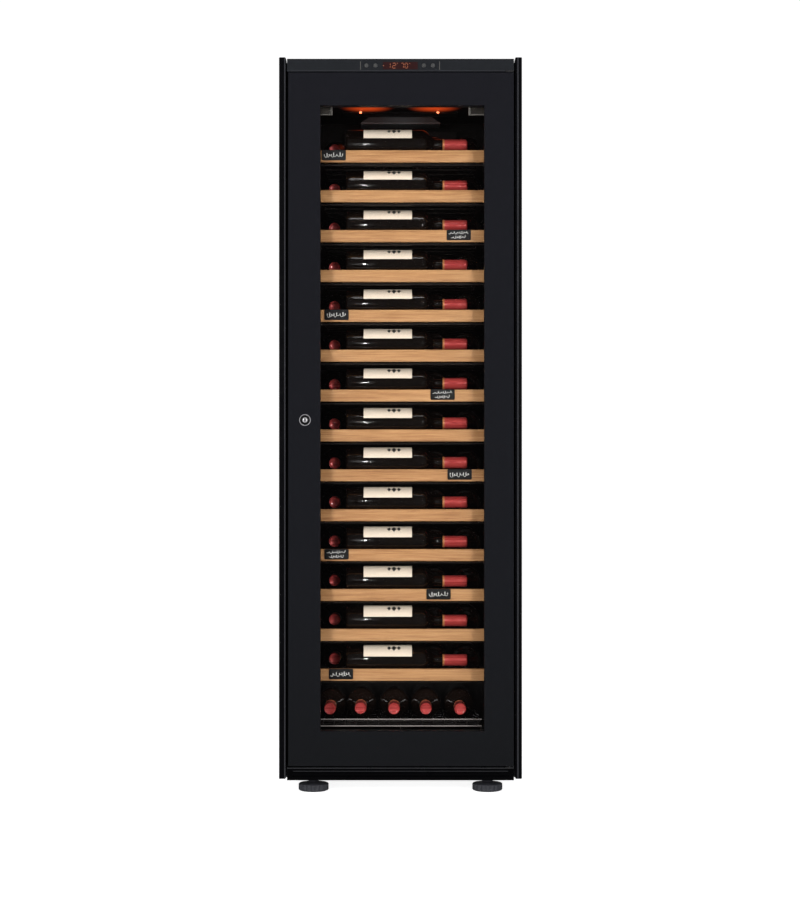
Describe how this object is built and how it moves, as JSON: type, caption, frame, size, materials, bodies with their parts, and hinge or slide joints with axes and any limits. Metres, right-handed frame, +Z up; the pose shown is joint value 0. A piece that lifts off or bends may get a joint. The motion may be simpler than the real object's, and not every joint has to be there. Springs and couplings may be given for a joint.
{
  "type": "wine cooler",
  "caption": "Tall built-in wine cooler: glazed black door, pull-out oak-fronted bottle shelves, touch control strip, adjustable feet and rear cooling unit.",
  "frame": {"origin": "on the floor under the middle of the object's box", "axes": "+X to the right as seen from the front, +Y towards the back, +Z up; the door faces -Y"},
  "size_m": [0.592, 0.57, 1.795],
  "materials": {
    "case_steel": "satin",
    "foam": "matte",
    "liner": "matte",
    "base_steel": "satin",
    "trim": "gloss",
    "fascia": "gloss",
    "plinth": "satin",
    "hinge_steel": "satin",
    "door_frame": "satin",
    "printed_glass": "polished",
    "clear_glass": "polished",
    "gasket": "matte",
    "lock_chrome": "polished",
    "rack": "matte",
    "grid_wire": "satin",
    "compressor_steel": "gloss",
    "coil_steel": "satin",
    "fan": "satin",
    "duct_cover": "matte",
    "inlet": "satin",
    "button": "satin",
    "foot": "satin",
    "oak": "satin",
    "tray_steel": "satin"
  },
  "bodies": {
    "cabinet": {"outer_case": "case_steel", "insulation": "foam", "liner": "liner", "base_tray": "base_steel", "left_trim": "trim", "right_trim": "trim", "control_fascia": "fascia", "plinth_grille": "plinth", "hinge_top": "hinge_steel", "hinge_bottom": "hinge_steel", "left_rack": "rack", "right_rack": "rack", "bottle_grid": "grid_wire", "compressor": "compressor_steel", "condenser_coil": "coil_steel", "rear_duct_cover": "duct_cover", "mains_inlet": "inlet"},
    "door": {"door_frame": "door_frame", "outer_glass": "printed_glass", "inner_glass": "clear_glass", "door_gasket": "gasket"},
    "lock": {"lock_cylinder": "lock_chrome"},
    "button_1": {"button_1": "button"},
    "button_2": {"button_2": "button"},
    "button_3": {"button_3": "button"},
    "button_4": {"button_4": "button"},
    "foot_front_left": {"foot_front_left": "foot"},
    "foot_front_right": {"foot_front_right": "foot"},
    "foot_rear_left": {"foot_rear_left": "foot"},
    "foot_rear_right": {"foot_rear_right": "foot"},
    "condenser_fan": {"condenser_fan": "fan"},
    "circulation_fan": {"circulation_fan": "fan"},
    "shelf_01": {"shelf_front_01": "oak", "shelf_tray_01": "tray_steel"},
    "shelf_02": {"shelf_front_02": "oak", "shelf_tray_02": "tray_steel"},
    "shelf_03": {"shelf_front_03": "oak", "shelf_tray_03": "tray_steel"},
    "shelf_04": {"shelf_front_04": "oak", "shelf_tray_04": "tray_steel"},
    "shelf_05": {"shelf_front_05": "oak", "shelf_tray_05": "tray_steel"},
    "shelf_06": {"shelf_front_06": "oak", "shelf_tray_06": "tray_steel"},
    "shelf_07": {"shelf_front_07": "oak", "shelf_tray_07": "tray_steel"},
    "shelf_08": {"shelf_front_08": "oak", "shelf_tray_08": "tray_steel"},
    "shelf_09": {"shelf_front_09": "oak", "shelf_tray_09": "tray_steel"},
    "shelf_10": {"shelf_front_10": "oak", "shelf_tray_10": "tray_steel"},
    "shelf_11": {"shelf_front_11": "oak", "shelf_tray_11": "tray_steel"},
    "shelf_12": {"shelf_front_12": "oak", "shelf_tray_12": "tray_steel"},
    "shelf_13": {"shelf_front_13": "oak", "shelf_tray_13": "tray_steel"},
    "shelf_14": {"shelf_front_14": "oak", "shelf_tray_14": "tray_steel"}
  },
  "joints": [
    {"name": "door_hinge", "type": "hinge", "parent": "cabinet", "child": "door", "pos_m": [0.2665, -0.274, 0.068], "axis": [0, 0, 1], "range_deg": [0, 110]},
    {"name": "lock_turn", "type": "hinge", "parent": "door", "child": "lock", "pos_m": [-0.2326, -0.285, 0.911], "axis": [0, -1, 0], "range_deg": [0, 90]},
    {"name": "button_1_press", "type": "slide", "parent": "cabinet", "child": "button_1", "axis": [0, 1, 0], "range_m": [0, 0.0008], "stiffness_N_per_m": 200},
    {"name": "button_2_press", "type": "slide", "parent": "cabinet", "child": "button_2", "axis": [0, 1, 0], "range_m": [0, 0.0008], "stiffness_N_per_m": 200},
    {"name": "button_3_press", "type": "slide", "parent": "cabinet", "child": "button_3", "axis": [0, 1, 0], "range_m": [0, 0.0008], "stiffness_N_per_m": 200},
    {"name": "button_4_press", "type": "slide", "parent": "cabinet", "child": "button_4", "axis": [0, 1, 0], "range_m": [0, 0.0008], "stiffness_N_per_m": 200},
    {"name": "foot_front_left_screw", "type": "hinge", "parent": "cabinet", "child": "foot_front_left", "pos_m": [-0.214, -0.222, 0.03], "axis": [0, 0, 1], "continuous": true},
    {"name": "foot_front_right_screw", "type": "hinge", "parent": "cabinet", "child": "foot_front_right", "pos_m": [0.214, -0.222, 0.03], "axis": [0, 0, 1], "continuous": true},
    {"name": "foot_rear_left_screw", "type": "hinge", "parent": "cabinet", "child": "foot_rear_left", "pos_m": [-0.214, 0.222, 0.03], "axis": [0, 0, 1], "continuous": true},
    {"name": "foot_rear_right_screw", "type": "hinge", "parent": "cabinet", "child": "foot_rear_right", "pos_m": [0.214, 0.222, 0.03], "axis": [0, 0, 1], "continuous": true},
    {"name": "condenser_fan_spin", "type": "hinge", "parent": "cabinet", "child": "condenser_fan", "pos_m": [-0.15, 0.202, 0.125], "axis": [1, 0, 0], "continuous": true},
    {"name": "circulation_fan_spin", "type": "hinge", "parent": "cabinet", "child": "circulation_fan", "pos_m": [0, 0.2225, 1.61], "axis": [0, -1, 0], "continuous": true},
    {"name": "shelf_01_slide", "type": "slide", "parent": "cabinet", "child": "shelf_01", "axis": [0, -1, 0], "range_m": [0, 0.145]},
    {"name": "shelf_02_slide", "type": "slide", "parent": "cabinet", "child": "shelf_02", "axis": [0, -1, 0], "range_m": [0, 0.145]},
    {"name": "shelf_03_slide", "type": "slide", "parent": "cabinet", "child": "shelf_03", "axis": [0, -1, 0], "range_m": [0, 0.145]},
    {"name": "shelf_04_slide", "type": "slide", "parent": "cabinet", "child": "shelf_04", "axis": [0, -1, 0], "range_m": [0, 0.145]},
    {"name": "shelf_05_slide", "type": "slide", "parent": "cabinet", "child": "shelf_05", "axis": [0, -1, 0], "range_m": [0, 0.145]},
    {"name": "shelf_06_slide", "type": "slide", "parent": "cabinet", "child": "shelf_06", "axis": [0, -1, 0], "range_m": [0, 0.145]},
    {"name": "shelf_07_slide", "type": "slide", "parent": "cabinet", "child": "shelf_07", "axis": [0, -1, 0], "range_m": [0, 0.145]},
    {"name": "shelf_08_slide", "type": "slide", "parent": "cabinet", "child": "shelf_08", "axis": [0, -1, 0], "range_m": [0, 0.145]},
    {"name": "shelf_09_slide", "type": "slide", "parent": "cabinet", "child": "shelf_09", "axis": [0, -1, 0], "range_m": [0, 0.145]},
    {"name": "shelf_10_slide", "type": "slide", "parent": "cabinet", "child": "shelf_10", "axis": [0, -1, 0], "range_m": [0, 0.145]},
    {"name": "shelf_11_slide", "type": "slide", "parent": "cabinet", "child": "shelf_11", "axis": [0, -1, 0], "range_m": [0, 0.145]},
    {"name": "shelf_12_slide", "type": "slide", "parent": "cabinet", "child": "shelf_12", "axis": [0, -1, 0], "range_m": [0, 0.145]},
    {"name": "shelf_13_slide", "type": "slide", "parent": "cabinet", "child": "shelf_13", "axis": [0, -1, 0], "range_m": [0, 0.145]},
    {"name": "shelf_14_slide", "type": "slide", "parent": "cabinet", "child": "shelf_14", "axis": [0, -1, 0], "range_m": [0, 0.145]}
  ],
  "couplings": [
    {"joint": "shelf_01_slide", "follows": "door_hinge", "m_per_rad": 0.075},
    {"joint": "shelf_02_slide", "follows": "door_hinge", "m_per_rad": 0.075},
    {"joint": "shelf_03_slide", "follows": "door_hinge", "m_per_rad": 0.075},
    {"joint": "shelf_04_slide", "follows": "door_hinge", "m_per_rad": 0.075},
    {"joint": "shelf_05_slide", "follows": "door_hinge", "m_per_rad": 0.075},
    {"joint": "shelf_06_slide", "follows": "door_hinge", "m_per_rad": 0.075},
    {"joint": "shelf_07_slide", "follows": "door_hinge", "m_per_rad": 0.075},
    {"joint": "shelf_08_slide", "follows": "door_hinge", "m_per_rad": 0.075},
    {"joint": "shelf_09_slide", "follows": "door_hinge", "m_per_rad": 0.075},
    {"joint": "shelf_10_slide", "follows": "door_hinge", "m_per_rad": 0.075},
    {"joint": "shelf_11_slide", "follows": "door_hinge", "m_per_rad": 0.075},
    {"joint": "shelf_12_slide", "follows": "door_hinge", "m_per_rad": 0.075},
    {"joint": "shelf_13_slide", "follows": "door_hinge", "m_per_rad": 0.075},
    {"joint": "shelf_14_slide", "follows": "door_hinge", "m_per_rad": 0.075}
  ]
}
